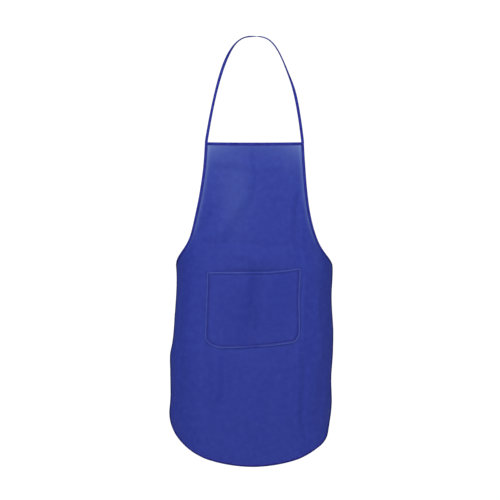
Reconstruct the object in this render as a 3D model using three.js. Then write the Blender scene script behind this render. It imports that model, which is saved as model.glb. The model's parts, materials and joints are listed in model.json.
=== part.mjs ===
// A bib apron with a neck loop, bound edges, one patch pocket and two waist ties.
//
// Millimetres, +Z up, the front of the apron faces -Y and +X is to the right seen from the front. The
// origin is the underside of the neck loop's crown, where a hook or a peg carries the apron.
//
// All pieces but the loop and the ties are cut and sewn on a flat pattern, as the real ones are, and one
// drape then bends the sewn apron. On the pattern x runs to the right, y runs up from the bib's top edge,
// and a piece's level is its height above the middle of the front panel's cloth, towards the front.
import * as THREE from 'three';

// ---- Driving sizes ----
const bodyLength = 914;
const bibWidth = 277;
const armholeDrop = 344.5;
const skirtWidth = 520;
const hemRise = 162;

const clothThickness = 1.0;
const tapeThickness = 0.7;
const tapeWidth = 8.4;
const sewnGap = 0.3;
const threadWidth = 0.7;
const threadThickness = 0.4;
const seamInset = 5.9;

const pocketWidth = 265.5;
const pocketHeight = 217;
const pocketDrop = 363;
const pocketOffset = -2.5;
const pocketTurning = 11;
const pocketSeamInset = 8;
const pocketGape = 14;
const mouthRise = 12;
const bottomRise = 14;
const leftCorner = { across: 58, up: 36 };
const rightCorner = { across: 20, up: 32 };
const cornerRoundness = 0.56;
const rightCornerLead = 4;
const bottomBendOffset = 20;

const loopRise = 295;
const crownLevelLength = 10;
const hingeClearance = 3.2;
const tieLength = 440;
const tieInset = 2;
const tieDrop = 8;
const tieStandoff = 0.8;

const bartackLength = 7;
const bartackWidth = 2;
const bartackThickness = 0.6;
const neckTackDrop = 7;
const waistTackDrop = 4;
const pocketTackDrop = 3;
const seamEndTrim = 9;
const shortSeamEndTrim = 1;

// ---- Shape of the drape: a flat front with its two sides turned back round arcs ----
const frontHalfWidth = 120;
const waistTurnRadius = 102;
const hemTurnRadius = 113;
const swayDistance = 10;
const swayStartShare = 0.44;
const swayEndShare = 0.72;

// ---- Shape of the outlines ----
const armholeLean = THREE.MathUtils.degToRad(4.6);
const armholeFlareAngle = THREE.MathUtils.degToRad(44);
const armholeFlareLength = 76;
const armholeHandleShare = 0.93;
const hemExponent = 1.9;

// ---- How finely the curves and the drape are divided ----
const armholeSteps = 16;
const hemSteps = 14;
const turnSteps = 7;
const heightSteps = 14;
const pocketCurveSteps = 8;
const mouthSteps = 10;
const mouthSeamSteps = 14;
const loopSteps = 24;
const latticeMargin = 2;
const weldingDistance = 0.01;
const smallestArea = 1e-3;

// The loop's right half, from the crown to the bib, as shares of its half span and of its rise.
const loopRoute = [
  [0.12, 0.0023], [0.22, 0.0132], [0.32, 0.0386], [0.42, 0.084], [0.52, 0.154], [0.62, 0.255],
  [0.71, 0.376], [0.79, 0.51], [0.86, 0.65], [0.92, 0.788], [0.965, 0.903], [1, 1],
];
const loopTwistStart = 10;
const loopTwistEnd = 105;

// How far each tie hangs away from a plumb line, inwards and backwards, at equal steps down its length.
const tieRoute = [
  [0, 0], [0.3, -0.4], [0.7, -0.8], [1.2, -0.9], [1.8, -0.6], [2.4, 0], [3, 0.6], [3.6, 1], [4.1, 1.1],
  [4.6, 0.8], [5, 0.3], [5.3, -0.3], [5.6, -0.7], [5.8, -0.8], [5.9, -0.5], [6, 0],
];

// ---- Levels of the sewn layers, out from the middle of the front panel's cloth ----
const panelFace = clothThickness / 2;
const bindingInside = panelFace + sewnGap;
const bindingFace = bindingInside + tapeThickness;
const pocketUnderside = panelFace + sewnGap;
const pocketFold = pocketUnderside + clothThickness;
const pocketFace = pocketFold + clothThickness;
const bindingOverhang = sewnGap + tapeThickness;
const bindingReach = tapeWidth - bindingOverhang;

const bibHalf = bibWidth / 2;
const skirtHalf = skirtWidth / 2;
const foldedTape = 2 * tapeThickness;
const loopPatternX = bibHalf + bindingOverhang - tapeWidth / 2;
const hingeHeight = foldedTape / 2 - loopRise - hingeClearance;
const bibTopHeight = hingeHeight - sewnGap;

const cloth = new THREE.MeshStandardMaterial({ color: 0x354193, roughness: 0.85, metalness: 0 });
const tape = new THREE.MeshStandardMaterial({ color: 0x2a2c7c, roughness: 0.75, metalness: 0 });
const thread = new THREE.MeshStandardMaterial({ color: 0x303a88, roughness: 0.6, metalness: 0 });

const apron = new THREE.Group();

function add(name, geometry, material) {
  const mesh = new THREE.Mesh(geometry, material);
  mesh.name = name;
  apron.add(mesh);
}

// ---- The drape ----

// Depth of the front's middle line, at shares of the body's length below the bib's top edge.
const profile = new THREE.CubicInterpolant(
  [-0.02, 0, 0.07, 0.16, 0.28, 0.42, 0.7, 1, 1.02],
  [2, 0, -5.5, -9.5, -11.3, -12, -10.9, -8.3, -8.1],
  1,
);

function turnRadiusAt(y) {
  const below = THREE.MathUtils.smoothstep(-y, armholeDrop, bodyLength);
  return THREE.MathUtils.lerp(waistTurnRadius, hemTurnRadius, below);
}

function swayAt(y) {
  const [start, end] = [swayStartShare * bodyLength, swayEndShare * bodyLength];
  return -swayDistance * THREE.MathUtils.smoothstep(-y, start, end);
}

// How far the sides have turned back at a pattern point, as an angle.
function turnAt(x, y) {
  return Math.max(0, Math.abs(x) - frontHalfWidth) / turnRadiusAt(y);
}

// The bib's corners hang straight below the loop's ends, so the drape is set back from there.
const cornerDepth = waistTurnRadius * (1 - Math.cos(turnAt(loopPatternX, 0)));

// The place of a pattern point on the true, smooth drape.
function smoothDrape(x, y, level) {
  const side = Math.sign(x);
  const radius = turnRadiusAt(y);
  const angle = turnAt(x, y);
  const across = Math.min(Math.abs(x), frontHalfWidth) + radius * Math.sin(angle);
  const depth = profile.evaluate(-y / bodyLength)[0] + radius * (1 - Math.cos(angle)) - cornerDepth;
  return new THREE.Vector3(
    side * (across + level * Math.sin(angle)) + swayAt(y),
    depth - level * Math.cos(angle),
    bibTopHeight + y,
  );
}

function evenSteps(from, to, count) {
  return Array.from({ length: count + 1 }, (_, i) => from + ((to - from) * i) / count);
}

// The drape is faceted on one lattice that all pieces share, so their facets stay parallel.
const turnLines = evenSteps(frontHalfWidth, skirtHalf + latticeMargin, turnSteps);
const rightLines = [frontHalfWidth / 2, ...turnLines];
const latticeX = [...rightLines.map((x) => -x).reverse(), 0, ...rightLines];
const latticeY = evenSteps(-bodyLength - latticeMargin, latticeMargin, heightSteps);

function cellOf(lines, value) {
  const above = lines.findIndex((line) => line > value);
  const last = lines.length - 1;
  return above < 0 ? last - 1 : Math.max(0, above - 1);
}

function drape(x, y, level) {
  const column = cellOf(latticeX, x);
  const row = cellOf(latticeY, y);
  const [x0, x1] = [latticeX[column], latticeX[column + 1]];
  const [y0, y1] = [latticeY[row], latticeY[row + 1]];
  const shareX = (x - x0) / (x1 - x0);
  const shareY = (y - y0) / (y1 - y0);
  const low = smoothDrape(x0, y0, level).lerp(smoothDrape(x1, y0, level), shareX);
  const high = smoothDrape(x0, y1, level).lerp(smoothDrape(x1, y1, level), shareX);
  return low.lerp(high, shareY);
}

// ---- Flat work: polygons cut along the lattice, then raised into layers ----

function clipAgainst(polygon, axis, limit, keepAbove) {
  const inside = (point) => (keepAbove ? point[axis] >= limit : point[axis] <= limit);
  const kept = [];
  polygon.forEach((point, i) => {
    const next = polygon[(i + 1) % polygon.length];
    if (inside(point)) kept.push(point);
    if (inside(point) !== inside(next)) {
      const share = (limit - point[axis]) / (next[axis] - point[axis]);
      const crossing = [0, 1].map((k) => point[k] + share * (next[k] - point[k]));
      crossing[axis] = limit;
      kept.push(crossing);
    }
  });
  return kept;
}

function areaOf(polygon) {
  return THREE.ShapeUtils.area(polygon.map(([x, y]) => new THREE.Vector2(x, y)));
}

function piecesInCells(polygon, linesX, linesY) {
  const pieces = [];
  for (let column = 0; column + 1 < linesX.length; column += 1) {
    const right = clipAgainst(polygon, 0, linesX[column], true);
    const strip = clipAgainst(right, 0, linesX[column + 1], false);
    for (let row = 0; row + 1 < linesY.length && strip.length > 2; row += 1) {
      const above = clipAgainst(strip, 1, linesY[row], true);
      const piece = clipAgainst(above, 1, linesY[row + 1], false);
      if (piece.length > 2 && areaOf(piece) > smallestArea) pieces.push(piece);
    }
  }
  return pieces;
}

// Vertices closer than the welding distance become one, so that every body closes.
class Welder {
  constructor() {
    this.points = [];
    this.buckets = new Map();
  }

  indexOf([x, y]) {
    const [column, row] = [Math.round(x), Math.round(y)];
    for (let i = column - 1; i <= column + 1; i += 1) {
      for (let j = row - 1; j <= row + 1; j += 1) {
        const near = (this.buckets.get(`${i},${j}`) ?? []).find((index) => {
          const [nearX, nearY] = this.points[index];
          return Math.hypot(nearX - x, nearY - y) < weldingDistance;
        });
        if (near !== undefined) return near;
      }
    }
    const index = this.points.push([x, y]) - 1;
    const key = `${column},${row}`;
    this.buckets.set(key, [...(this.buckets.get(key) ?? []), index]);
    return index;
  }
}

// Flat triangles of all regions. A region's layers say which of the spaces between levels it fills.
function flatTriangles(regions, linesX, linesY, welder) {
  const triangles = [];
  for (const { polygons, layers } of regions) {
    for (const polygon of polygons.flatMap((outline) => piecesInCells(outline, linesX, linesY))) {
      const corners = polygon.map((point) => welder.indexOf(point));
      const unique = corners.filter((corner, i) => corner !== corners[(i + 1) % corners.length]);
      if (unique.length < 3) continue;
      const contour = unique.map((corner) => new THREE.Vector2(...welder.points[corner]));
      for (const face of THREE.ShapeUtils.triangulateShape(contour, [])) {
        triangles.push({ corners: face.map((i) => unique[i]), layers });
      }
    }
  }
  return triangles;
}

// One closed body from flat regions. lift raises the cloth off its level, for a part that stands proud.
function layeredBody({ regions, levels, lift = () => 0, extraX = [], extraY = [] }) {
  const byValue = (a, b) => a - b;
  const welder = new Welder();
  const linesX = [...latticeX, ...extraX].sort(byValue);
  const linesY = [...latticeY, ...extraY].sort(byValue);
  const triangles = flatTriangles(regions, linesX, linesY, welder);

  const layersBeside = new Map();
  for (const { corners, layers } of triangles) {
    corners.forEach((from, i) => layersBeside.set(`${from},${corners[(i + 1) % 3]}`, layers));
  }

  const positions = [];
  const placed = new Map();
  const vertex = (corner, level) => {
    const key = `${corner},${level}`;
    if (!placed.has(key)) {
      const [x, y] = welder.points[corner];
      placed.set(key, positions.push(drape(x, y, levels[level] + lift(x, y))) - 1);
    }
    return placed.get(key);
  };

  const faces = [];
  for (const { corners, layers } of triangles) {
    const [a, b, c] = corners;
    for (const layer of layers) {
      const [low, high] = [layer, layer + 1];
      if (!layers.includes(layer + 1)) faces.push([vertex(a, high), vertex(b, high), vertex(c, high)]);
      if (!layers.includes(layer - 1)) faces.push([vertex(a, low), vertex(c, low), vertex(b, low)]);
      corners.forEach((from, i) => {
        const to = corners[(i + 1) % 3];
        if ((layersBeside.get(`${to},${from}`) ?? []).includes(layer)) return;
        faces.push([vertex(from, low), vertex(to, low), vertex(to, high)]);
        faces.push([vertex(from, low), vertex(to, high), vertex(from, high)]);
      });
    }
  }
  return geometryOf(positions, faces);
}

function geometryOf(positions, faces) {
  const geometry = new THREE.BufferGeometry().setFromPoints(positions);
  geometry.setIndex(faces.flat());
  geometry.computeVertexNormals();
  return geometry;
}

// ---- Seam runs: lines along an edge with the cloth on their left, and the way out of the cloth ----

function directionAt(run, i) {
  const before = run[Math.max(0, i - 1)];
  const after = run[Math.min(run.length - 1, i + 1)];
  const length = Math.hypot(after[0] - before[0], after[1] - before[1]);
  return [(after[0] - before[0]) / length, (after[1] - before[1]) / length];
}

function stationsOf(run) {
  return run.map((point, i) => {
    const [dx, dy] = directionAt(run, i);
    return { point, out: [dy, -dx] };
  });
}

function placeAt({ point, out }, distance) {
  return [point[0] + out[0] * distance, point[1] + out[1] * distance];
}

// The strip between two distances from the edge, as one four-sided polygon for each step of the run.
function strip(stations, inner, outer) {
  return stations.slice(1).map((next, i) => [
    placeAt(stations[i], outer), placeAt(next, outer), placeAt(next, inner), placeAt(stations[i], inner),
  ]);
}

// Trims both ends of a run back along its line.
function shortened(run, distance) {
  const trimEnd = (points) => {
    const kept = points.map(([x, y]) => [x, y]);
    let left = distance;
    while (kept.length > 2) {
      const [last, previous] = [kept[kept.length - 1], kept[kept.length - 2]];
      const length = Math.hypot(last[0] - previous[0], last[1] - previous[1]);
      if (length > left) break;
      left -= length;
      kept.pop();
    }
    const [last, previous] = [kept[kept.length - 1], kept[kept.length - 2]];
    const share = left / Math.hypot(last[0] - previous[0], last[1] - previous[1]);
    last[0] += (previous[0] - last[0]) * share;
    last[1] += (previous[1] - last[1]) * share;
    return kept.reverse();
  };
  return trimEnd(trimEnd(run));
}

function mirrored(run) {
  return run.map(([x, y]) => [-x, y]).reverse();
}

// ---- Outlines ----

function leftArmhole() {
  const top = new THREE.Vector2(-bibHalf, 0);
  const waist = new THREE.Vector2(-skirtHalf, -armholeDrop);
  const reach = armholeHandleShare * armholeDrop;
  const upper = top.clone().add(new THREE.Vector2(-Math.tan(armholeLean) * reach, -reach));
  const flare = new THREE.Vector2(Math.cos(armholeFlareAngle), Math.sin(armholeFlareAngle));
  const lower = waist.clone().add(flare.multiplyScalar(armholeFlareLength));
  const curve = new THREE.CubicBezierCurve(top, upper, lower, waist);
  return curve.getPoints(armholeSteps).map((p) => [p.x, p.y]);
}

// From the left waist corner down the side, round the hem and up the right side.
function skirtEdge() {
  const hemTop = hemRise - bodyLength;
  const hem = evenSteps(0, Math.PI / 2, hemSteps).map((angle) => [
    -skirtHalf * Math.cos(angle) ** (2 / hemExponent),
    hemTop - hemRise * Math.sin(angle),
  ]);
  const left = [[-skirtHalf, -armholeDrop], ...hem];
  const right = mirrored(left).slice(1);
  return [...left, ...right];
}

const armholeLeft = leftArmhole();
const armholeRight = mirrored(armholeLeft);
const skirt = skirtEdge();

// ---- Front panel ----

function frontPanel() {
  const outline = [...armholeLeft, ...skirt.slice(1), ...armholeRight.slice(1)];
  const regions = [{ polygons: [outline], layers: [0] }];
  return layeredBody({ regions, levels: [-panelFace, panelFace] });
}
add('front_panel', frontPanel(), cloth);

// ---- Bindings: tape folded over the panel's edge, one leg in front and one behind ----

const bindingLevels = [-bindingFace, -bindingInside, bindingInside, bindingFace];

function binding(stations) {
  const fold = { polygons: strip(stations, sewnGap, bindingOverhang), layers: [0, 1, 2] };
  const legs = { polygons: strip(stations, -bindingReach, sewnGap), layers: [0, 2] };
  return layeredBody({ regions: [fold, legs], levels: bindingLevels });
}

// Makes the end of a run meet the next run on their mitre line, half the sewn gap short of it.
function mitreEnd(stations, index, neighbourOut) {
  const { point, out } = stations[index];
  const middle = [out[0] + neighbourOut[0], out[1] + neighbourOut[1]];
  const scale = middle[0] * out[0] + middle[1] * out[1];
  const along = [-out[1], out[0]];
  const backwards = index === 0 ? 1 : -1;
  const shift = backwards * sewnGap;
  stations[index] = {
    point: [point[0] + along[0] * shift, point[1] + along[1] * shift],
    out: [middle[0] / scale, middle[1] / scale],
  };
}

const armholeStations = stationsOf(armholeLeft);
const skirtStations = stationsOf(skirt);
const waistOutOfArmhole = armholeStations.at(-1).out;
const waistOutOfSkirt = skirtStations[0].out;
mitreEnd(armholeStations, armholeStations.length - 1, waistOutOfSkirt);
mitreEnd(skirtStations, 0, waistOutOfArmhole);
mitreEnd(skirtStations, skirtStations.length - 1, [-waistOutOfArmhole[0], waistOutOfArmhole[1]]);

function mirroredStations(stations) {
  const flip = ([x, y]) => [-x, y];
  return stations.map(({ point, out }) => ({ point: flip(point), out: flip(out) })).reverse();
}

const topHalf = bibHalf - bindingReach - 2 * sewnGap;
const topRun = [[topHalf, 0], [-topHalf, 0]];

add('top_binding', binding(stationsOf(topRun)), tape);
add('left_armhole_binding', binding(armholeStations), tape);
add('right_armhole_binding', binding(mirroredStations(armholeStations)), tape);
add('skirt_binding', binding(skirtStations), tape);

// ---- Pocket: cloth with its sides and bottom turned under, its mouth standing open ----

const pocketLeft = pocketOffset - pocketWidth / 2;
const pocketRight = pocketOffset + pocketWidth / 2;
const pocketBottom = -pocketDrop - pocketHeight;

// The mouth runs level from the left and rises towards the right.
function mouthHeight(x) {
  const middle = (pocketLeft + pocketRight) / 2;
  const share = Math.max(0, (x - middle) / (pocketRight - middle));
  return -pocketDrop + mouthRise * share * share;
}

// Down the pocket's left side, along its bottom and up its right side.
function pocketEdge() {
  const path = new THREE.Path();
  const slopeEnd = pocketBottom + bottomRise;
  const middle = (pocketLeft + pocketRight) / 2;
  path.moveTo(pocketLeft, mouthHeight(pocketLeft));
  path.lineTo(pocketLeft, pocketBottom + leftCorner.up);
  path.bezierCurveTo(
    pocketLeft, pocketBottom + leftCorner.up * (1 - cornerRoundness),
    pocketLeft + leftCorner.across * (1 - cornerRoundness), pocketBottom,
    pocketLeft + leftCorner.across, pocketBottom,
  );
  path.quadraticCurveTo(middle + bottomBendOffset, pocketBottom, pocketRight - rightCorner.across, slopeEnd);
  path.bezierCurveTo(
    pocketRight - rightCorner.across * (1 - cornerRoundness), slopeEnd + rightCornerLead,
    pocketRight, slopeEnd + rightCorner.up * (1 - cornerRoundness),
    pocketRight, slopeEnd + rightCorner.up,
  );
  path.lineTo(pocketRight, mouthHeight(pocketRight));
  return path.getPoints(pocketCurveSteps).map((p) => [p.x, p.y]);
}

// A run whose two ends are cut along the mouth.
function pocketStations() {
  const stations = stationsOf(pocketEdge());
  for (const [station, inwards] of [[stations[0], 1], [stations.at(-1), -1]]) {
    const x = station.point[0] + inwards * pocketTurning;
    const rise = station.point[1] - mouthHeight(x);
    station.out = [-inwards, rise / pocketTurning];
  }
  return stations;
}

function pocketLift(x, y) {
  const halfWidth = pocketWidth / 2 - pocketTurning;
  const across = THREE.MathUtils.clamp((x - pocketOffset) / halfWidth, -1, 1);
  const depth = pocketHeight - pocketTurning - leftCorner.up;
  const down = THREE.MathUtils.clamp((mouthHeight(x) - y) / depth, 0, 1);
  return pocketGape * ((1 - across ** 2) * (1 - down ** 2)) ** 1.5;
}

// Extra lattice lines that give the open pocket its curve, as shares of its half width and of its height.
const pocketLinesX = [-0.7, -0.2, 0.2, 0.7].map((share) => (share * pocketWidth) / 2);
const pocketLinesY = [0.14, 0.28, 0.46, 0.69].map((share) => -pocketDrop - share * pocketHeight);

function pocketPanel() {
  const stations = pocketStations();
  const inner = stations.map((station) => placeAt(station, -pocketTurning));
  const mouth = evenSteps(inner.at(-1)[0], inner[0][0], mouthSteps).map((x) => [x, mouthHeight(x)]);
  const middle = [...inner, ...mouth.slice(1, -1)];
  return layeredBody({
    regions: [
      { polygons: strip(stations, -pocketTurning, 0), layers: [0, 1] },
      { polygons: [middle], layers: [1] },
    ],
    levels: [pocketUnderside, pocketFold, pocketFace],
    lift: pocketLift,
    extraX: pocketLinesX,
    extraY: pocketLinesY,
  });
}
add('pocket_panel', pocketPanel(), cloth);

// ---- Stitching: one rib of thread along each seam ----

function seam(stations, inset, level, lift, extraX) {
  const edge = threadWidth / 2;
  const regions = [{ polygons: strip(stations, -inset - edge, -inset + edge), layers: [0] }];
  return layeredBody({ regions, levels: [level, level + threadThickness], lift, extraX });
}

const seamLevel = bindingFace + sewnGap;
const pocketSeamLevel = pocketFace + sewnGap;

// Below the mouth's edge, between the seams of the pocket's two sides.
function mouthSeam() {
  const end = pocketSeamInset + threadWidth + sewnGap;
  const run = evenSteps(pocketRight - end, pocketLeft + end, mouthSeamSteps).map((x) => [
    x, mouthHeight(x) - pocketSeamInset,
  ]);
  return seam(stationsOf(run), 0, pocketSeamLevel, pocketLift, pocketLinesX);
}

function edgeSeam(run, trim) {
  return seam(stationsOf(shortened(run, trim)), seamInset, seamLevel);
}

function pocketSeam() {
  const stations = stationsOf(shortened(pocketEdge(), shortSeamEndTrim));
  return seam(stations, pocketSeamInset, pocketSeamLevel);
}

add('top_stitching', edgeSeam(topRun, shortSeamEndTrim), thread);
add('left_armhole_stitching', edgeSeam(armholeLeft, seamEndTrim), thread);
add('right_armhole_stitching', edgeSeam(armholeRight, seamEndTrim), thread);
add('skirt_stitching', edgeSeam(skirt, seamEndTrim), thread);
add('pocket_stitching', pocketSeam(), thread);
add('pocket_mouth_stitching', mouthSeam(), thread);

// ---- Bartacks: short bars of thread where a tape or a pocket corner takes the pull ----

function bartack(x, y, level) {
  const [halfLength, halfWidth] = [bartackLength / 2, bartackWidth / 2];
  const outline = [
    [x - halfLength, y - halfWidth], [x + halfLength, y - halfWidth],
    [x + halfLength, y + halfWidth], [x - halfLength, y + halfWidth],
  ];
  const regions = [{ polygons: [outline], layers: [0] }];
  return layeredBody({ regions, levels: [level, level + bartackThickness] });
}

const tackLevel = seamLevel + threadThickness + sewnGap;
const pocketTackLevel = pocketSeamLevel + threadThickness + sewnGap;
const neckTackX = bibHalf - tapeWidth / 2;
const waistTackX = skirtHalf - tapeWidth / 2;
const waistTackY = -armholeDrop - waistTackDrop;
const pocketTackInset = pocketTurning / 2;

for (const [side, sign, pocketX] of [['left', -1, pocketLeft], ['right', 1, pocketRight]]) {
  const pocketTackX = pocketX - sign * pocketTackInset;
  const pocketTackY = mouthHeight(pocketX) - pocketTackDrop;
  add(`${side}_neck_bartack`, bartack(sign * neckTackX, -neckTackDrop, tackLevel), thread);
  add(`${side}_waist_bartack`, bartack(sign * waistTackX, waistTackY, tackLevel), thread);
  add(`${side}_pocket_bartack`, bartack(pocketTackX, pocketTackY, pocketTackLevel), thread);
}

// ---- Folded tape along a line: four corners at each station, closed at both ends ----

function tapeBody(stations) {
  const corners = [[-1, -1], [1, -1], [1, 1], [-1, 1]];
  const cornersAt = ({ place, across, through }) => corners.map(([a, b]) => place.clone()
    .addScaledVector(across, (a * tapeWidth) / 2)
    .addScaledVector(through, (b * foldedTape) / 2));
  const positions = stations.flatMap(cornersAt);
  const faces = [[0, 2, 1], [0, 3, 2]];
  for (let base = 0; base + 4 < positions.length; base += 4) {
    for (let i = 0; i < 4; i += 1) {
      const next = (i + 1) % 4;
      faces.push([base + i, base + next, base + 4 + next]);
      faces.push([base + i, base + 4 + next, base + 4 + i]);
    }
  }
  const end = positions.length - 4;
  faces.push([end, end + 1, end + 2], [end, end + 2, end + 3]);
  return geometryOf(positions, faces);
}

// ---- Neck loop: level at its crown, and turned to face the front where it meets the bib ----

const loopHalfSpan = smoothDrape(loopPatternX, 0, 0).x;

function loopHalfCurve() {
  const points = loopRoute.map(([across, down]) => new THREE.Vector3(
    across * loopHalfSpan, 0, foldedTape / 2 - down * loopRise,
  ));
  const crownEnd = new THREE.Vector3(crownLevelLength / 2, 0, foldedTape / 2);
  return new THREE.CatmullRomCurve3([crownEnd, ...points], false, 'centripetal');
}

function loopStation(place, tangent) {
  const backwards = new THREE.Vector3(0, 1, 0);
  const turn = THREE.MathUtils.smoothstep(-place.z, loopTwistStart, loopTwistEnd) * (Math.PI / 2);
  const sideways = backwards.clone().cross(tangent).normalize();
  const across = backwards.multiplyScalar(Math.cos(turn)).addScaledVector(sideways, Math.sin(turn));
  return { place, across, through: tangent.clone().cross(across).normalize() };
}

function neckLoop() {
  const curve = loopHalfCurve();
  const rightHalf = evenSteps(0, 1, loopSteps).map((share, i) => {
    const tangent = i === 0 ? new THREE.Vector3(1, 0, 0) : curve.getTangentAt(share);
    return loopStation(curve.getPointAt(share), tangent);
  });
  const leftHalf = rightHalf.map(({ place, across, through }) => {
    const flip = new THREE.Vector3(-1, 1, 1);
    return { place: place.clone().multiply(flip), across: across.clone().multiply(flip),
      through: through.clone().multiply(flip) };
  }).reverse();
  return tapeBody([...leftHalf, ...rightHalf]);
}
add('neck_loop', neckLoop(), tape);

// ---- Waist ties: sewn inside the waist corners and hanging behind the skirt's sides ----

const tieLevel = -bindingFace - sewnGap - tieStandoff - foldedTape / 2;
const tieTop = { x: skirtHalf - tapeWidth / 2 - tieInset, y: -armholeDrop - tieDrop };

// The tape lies flat against the cloth that it is sewn to, and sways with the skirt.
function waistTie(sign) {
  const top = drape(sign * tieTop.x, tieTop.y, tieLevel);
  const angle = turnAt(tieTop.x, tieTop.y);
  const across = new THREE.Vector3(sign * Math.cos(angle), Math.sin(angle), 0);
  const through = new THREE.Vector3(Math.sin(angle), -sign * Math.cos(angle), 0);
  const step = tieLength / (tieRoute.length - 1);
  const stations = tieRoute.map(([inwards, back], i) => {
    const sideways = swayAt(tieTop.y - i * step) - sign * inwards;
    return { place: top.clone().add(new THREE.Vector3(sideways, back, -i * step)), across, through };
  });
  return tapeBody(stations);
}
add('left_waist_tie', waistTie(-1), tape);
add('right_waist_tie', waistTie(1), tape);

export default apron;
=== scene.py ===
# Bib apron: fine cloth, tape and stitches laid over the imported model, which gives the frame.
# The cloth pieces are drawn on the flat pattern and bent by the same drape as the CAD solids. On the
# pattern x runs to the right, y runs up from the bib's top edge, and level is the height above the
# middle of the front panel's cloth, towards the front. All lengths are in metres.
import json
import math

import bpy
import numpy as np
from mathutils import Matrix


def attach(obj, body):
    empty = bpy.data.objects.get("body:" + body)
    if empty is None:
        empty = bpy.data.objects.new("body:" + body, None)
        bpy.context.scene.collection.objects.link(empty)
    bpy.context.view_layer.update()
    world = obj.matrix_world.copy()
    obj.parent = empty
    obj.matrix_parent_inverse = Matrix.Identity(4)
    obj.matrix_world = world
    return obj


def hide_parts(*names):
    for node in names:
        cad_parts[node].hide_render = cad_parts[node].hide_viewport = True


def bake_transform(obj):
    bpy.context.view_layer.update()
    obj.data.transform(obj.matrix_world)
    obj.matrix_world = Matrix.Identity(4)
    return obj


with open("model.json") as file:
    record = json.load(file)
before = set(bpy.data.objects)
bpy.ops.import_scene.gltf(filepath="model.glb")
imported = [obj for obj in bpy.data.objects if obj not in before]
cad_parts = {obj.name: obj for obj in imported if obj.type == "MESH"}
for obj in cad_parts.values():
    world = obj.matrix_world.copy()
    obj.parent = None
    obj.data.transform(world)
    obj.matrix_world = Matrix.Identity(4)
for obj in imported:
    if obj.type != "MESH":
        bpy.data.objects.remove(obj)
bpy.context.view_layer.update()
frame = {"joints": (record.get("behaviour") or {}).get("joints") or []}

# ---- Sizes, as in the CAD model ----
BODY_LENGTH = 0.914
BIB_WIDTH = 0.277
ARMHOLE_DROP = 0.3445
SKIRT_WIDTH = 0.520
HEM_RISE = 0.162
HEM_EXPONENT = 1.9
TAPE_WIDTH = 0.0084
TAPE_THICKNESS = 0.0007
SEWN_GAP = 0.0003
POCKET_WIDTH = 0.2655
POCKET_HEIGHT = 0.217
POCKET_DROP = 0.363
POCKET_OFFSET = -0.0025
POCKET_GAPE = 0.014
POCKET_TURNING = 0.011
MOUTH_RISE = 0.012
BOTTOM_RISE = 0.014
LOOP_RISE = 0.295
CROWN_LEVEL_LENGTH = 0.010
TIE_LENGTH = 0.440
TIE_STANDOFF = 0.0008
CAD_BINDING_FACE = 0.0015
FRONT_HALF_WIDTH = 0.120
WAIST_TURN_RADIUS = 0.102
HEM_TURN_RADIUS = 0.113
SWAY_DISTANCE = 0.010
SWAY_START = 0.44 * BODY_LENGTH
SWAY_END = 0.72 * BODY_LENGTH
ARMHOLE_REACH = 0.93 * ARMHOLE_DROP
ARMHOLE_LEAN = math.radians(4.6)
ARMHOLE_FLARE_ANGLE = math.radians(44)
ARMHOLE_FLARE_LENGTH = 0.076

# The loop's right half, from the crown to the bib, as shares of its half span and of its rise.
LOOP_ROUTE = [
    (0.12, 0.0023), (0.22, 0.0132), (0.32, 0.0386), (0.42, 0.084), (0.52, 0.154), (0.62, 0.255),
    (0.71, 0.376), (0.79, 0.51), (0.86, 0.65), (0.92, 0.788), (0.965, 0.903), (1, 1),
]
LOOP_TUCK = 0.005

# The right half bows in a little near the neck and out lower down. Each pair is the distance below the crown
# and the shift, in mm.
LOOP_BOW = [(0, 0), (50, -1), (90, 0), (145, 4), (225, 3), (275, 1), (300, 0)]

# The tape lies nearly flat over the neck and faces the front at both ends, and its right half stays edge-on
# for longer. Each pair is the distance along it from the crown in mm and its roll in degrees.
LOOP_ROLL = [
    (-400, 90), (-140, 90), (-90, 52), (-60, 25), (-35, 15), (-8, 14), (3, 0), (12, -15), (45, -24),
    (120, -28), (160, -38), (195, -62), (235, -90), (400, -90),
]

# How far each tie hangs off a plumb line, inwards and backwards, in mm at equal steps down its length.
TIE_ROUTE = [
    (0, 0), (0.3, -0.4), (0.7, -0.8), (1.2, -0.9), (1.8, -0.6), (2.4, 0), (3, 0.6), (3.6, 1), (4.1, 1.1),
    (4.6, 0.8), (5, 0.3), (5.3, -0.3), (5.6, -0.7), (5.8, -0.8), (5.9, -0.5), (6, 0),
]

# The hanging cloth's side view: (share of the body's length below the bib's top, depth in mm).
PROFILE = [
    (-0.02, 2), (0, 0), (0.07, -5.5), (0.16, -9.5), (0.28, -11.3), (0.42, -12), (0.7, -10.9), (1, -8.3),
    (1.02, -8.1),
]

# ---- Sizes of the fine surface ----
CLOTH_HALF = 0.00035
BINDING_INSIDE = 0.00045
BINDING_FACE = 0.00115
STITCH_PITCH = 0.0031
STITCH_LENGTH = 0.0023
STITCH_RADIUS = 0.00028
TACK_PITCH = 0.00045
TACK_RADIUS = 0.00026
SEAM_INSET = 0.0060
POCKET_SEAM_INSET = 0.0082
TOP_TUCK = 0.003

BIB_HALF = BIB_WIDTH / 2
SKIRT_HALF = SKIRT_WIDTH / 2
BINDING_OVERHANG = SEWN_GAP + TAPE_THICKNESS
BINDING_REACH = TAPE_WIDTH - BINDING_OVERHANG
FOLDED_TAPE = 2 * TAPE_THICKNESS
LOOP_PATTERN_X = BIB_HALF + BINDING_OVERHANG - TAPE_WIDTH / 2
HINGE = (0, 0, frame["joints"][0]["pos_m"][2])
BIB_TOP_HEIGHT = HINGE[2] - SEWN_GAP

LOOP_BODY, APRON_BODY, LEFT_TIE_BODY, RIGHT_TIE_BODY = (
    "neck_loop_body", "apron_body", "left_tie_body", "right_tie_body")


# ---- The drape ----

def smoothstep(value, low, high):
    """From 0 at low to 1 at high, level at both ends."""
    share = np.clip((np.asarray(value, float) - low) / (high - low), 0, 1)
    return share * share * (3 - 2 * share)


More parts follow.
